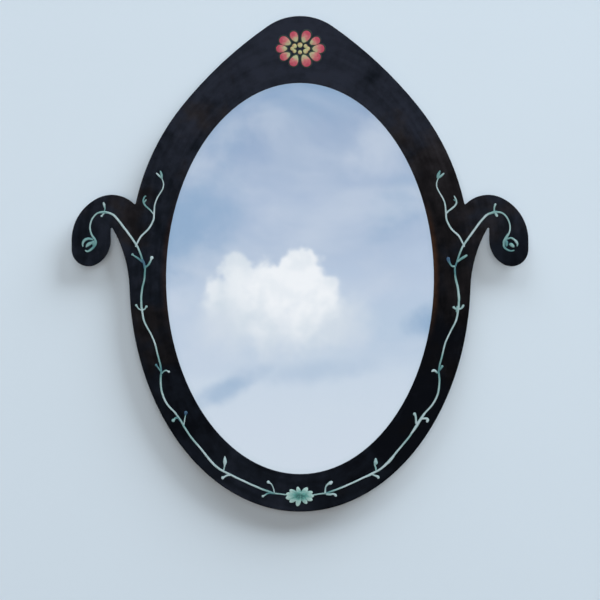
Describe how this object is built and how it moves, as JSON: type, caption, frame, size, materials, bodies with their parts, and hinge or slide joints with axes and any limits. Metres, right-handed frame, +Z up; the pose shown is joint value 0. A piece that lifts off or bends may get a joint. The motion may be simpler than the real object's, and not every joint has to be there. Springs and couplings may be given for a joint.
{
  "type": "wall mirror",
  "caption": "Upright oval wall mirror in a flat blackened-steel frame with a pointed crown, scrolled side arms, a painted vine, a glazed back and hanger rings.",
  "frame": {"origin": "on the wall, midway between the two wall hooks, at the height where they bear in the rings", "axes": "+Z up, +X to the viewer's right, the front faces -Y and +Y points into the wall"},
  "size_m": [0.5622, 0.022, 0.61],
  "materials": {
    "black_steel": "blackened sheet steel, waxed to a soft satin, mottled",
    "back_steel": "blackened steel, duller than the front",
    "mirror": "silvered float glass",
    "felt": "charcoal felt",
    "packing_card": "plain brown corrugated card",
    "hardboard": "brown hardboard, smooth face out",
    "block_rubber": "black rubber",
    "plated_steel": "zinc-plated steel",
    "hanger_steel": "nickel-plated sheet",
    "ring_wire": "nickel-plated wire",
    "rivet_metal": "plain aluminium",
    "bumper_rubber": "black rubber",
    "vine_paint": "hand-brushed mint and teal enamel",
    "blossom_paint": "hand-brushed red, cream and green enamel",
    "weld_steel": "blackened weld beads"
  },
  "bodies": {
    "frame": {"frame_plate": "black_steel", "back_hoop": "back_steel", "button_lugs": "back_steel", "bumper_lugs": "back_steel", "hanger_lugs": "back_steel", "felt_strip": "felt", "mirror_glass": "mirror", "packing_sheet": "packing_card", "backing_board": "hardboard", "setting_blocks": "block_rubber", "button_washers": "plated_steel", "button_screws": "plated_steel", "wall_bumpers": "bumper_rubber", "bumper_screws": "plated_steel", "hanger_strap_right": "hanger_steel", "hanger_strap_left": "hanger_steel", "hanger_rivets": "rivet_metal"},
    "turn_button_top": {"turn_button_top": "plated_steel"},
    "turn_button_upper_right": {"turn_button_upper_right": "plated_steel"},
    "turn_button_right": {"turn_button_right": "plated_steel"},
    "turn_button_lower_right": {"turn_button_lower_right": "plated_steel"},
    "turn_button_bottom": {"turn_button_bottom": "plated_steel"},
    "turn_button_lower_left": {"turn_button_lower_left": "plated_steel"},
    "turn_button_left": {"turn_button_left": "plated_steel"},
    "turn_button_upper_left": {"turn_button_upper_left": "plated_steel"},
    "hanger_ring_right": {"hanger_ring_right": "ring_wire"},
    "hanger_ring_left": {"hanger_ring_left": "ring_wire"}
  },
  "joints": [
    {"name": "turn_top", "type": "hinge", "parent": "frame", "child": "turn_button_top", "pos_m": [0, -0.008, 0.0837], "axis": [0, 1, 0], "continuous": true},
    {"name": "turn_upper_right", "type": "hinge", "parent": "frame", "child": "turn_button_upper_right", "pos_m": [0.10238, -0.008, 0.04059], "axis": [0, 1, 0], "continuous": true},
    {"name": "turn_right", "type": "hinge", "parent": "frame", "child": "turn_button_right", "pos_m": [0.186, -0.008, -0.1783], "axis": [0, 1, 0], "continuous": true},
    {"name": "turn_lower_right", "type": "hinge", "parent": "frame", "child": "turn_button_lower_right", "pos_m": [0.13242, -0.008, -0.36249], "axis": [0, 1, 0], "continuous": true},
    {"name": "turn_bottom", "type": "hinge", "parent": "frame", "child": "turn_button_bottom", "pos_m": [0, -0.008, -0.4403], "axis": [0, 1, 0], "continuous": true},
    {"name": "turn_lower_left", "type": "hinge", "parent": "frame", "child": "turn_button_lower_left", "pos_m": [-0.13242, -0.008, -0.36249], "axis": [0, 1, 0], "continuous": true},
    {"name": "turn_left", "type": "hinge", "parent": "frame", "child": "turn_button_left", "pos_m": [-0.186, -0.008, -0.1783], "axis": [0, 1, 0], "continuous": true},
    {"name": "turn_upper_left", "type": "hinge", "parent": "frame", "child": "turn_button_upper_left", "pos_m": [-0.10238, -0.008, 0.04059], "axis": [0, 1, 0], "continuous": true},
    {"name": "ring_swing_right", "type": "hinge", "parent": "frame", "child": "hanger_ring_right", "pos_m": [0.15601, -0.00542, -0.0185], "axis": [1, 0, 0], "range_deg": [-165, 35]},
    {"name": "ring_swing_left", "type": "hinge", "parent": "frame", "child": "hanger_ring_left", "pos_m": [-0.15601, -0.00542, -0.0185], "axis": [1, 0, 0], "range_deg": [-165, 35]}
  ]
}
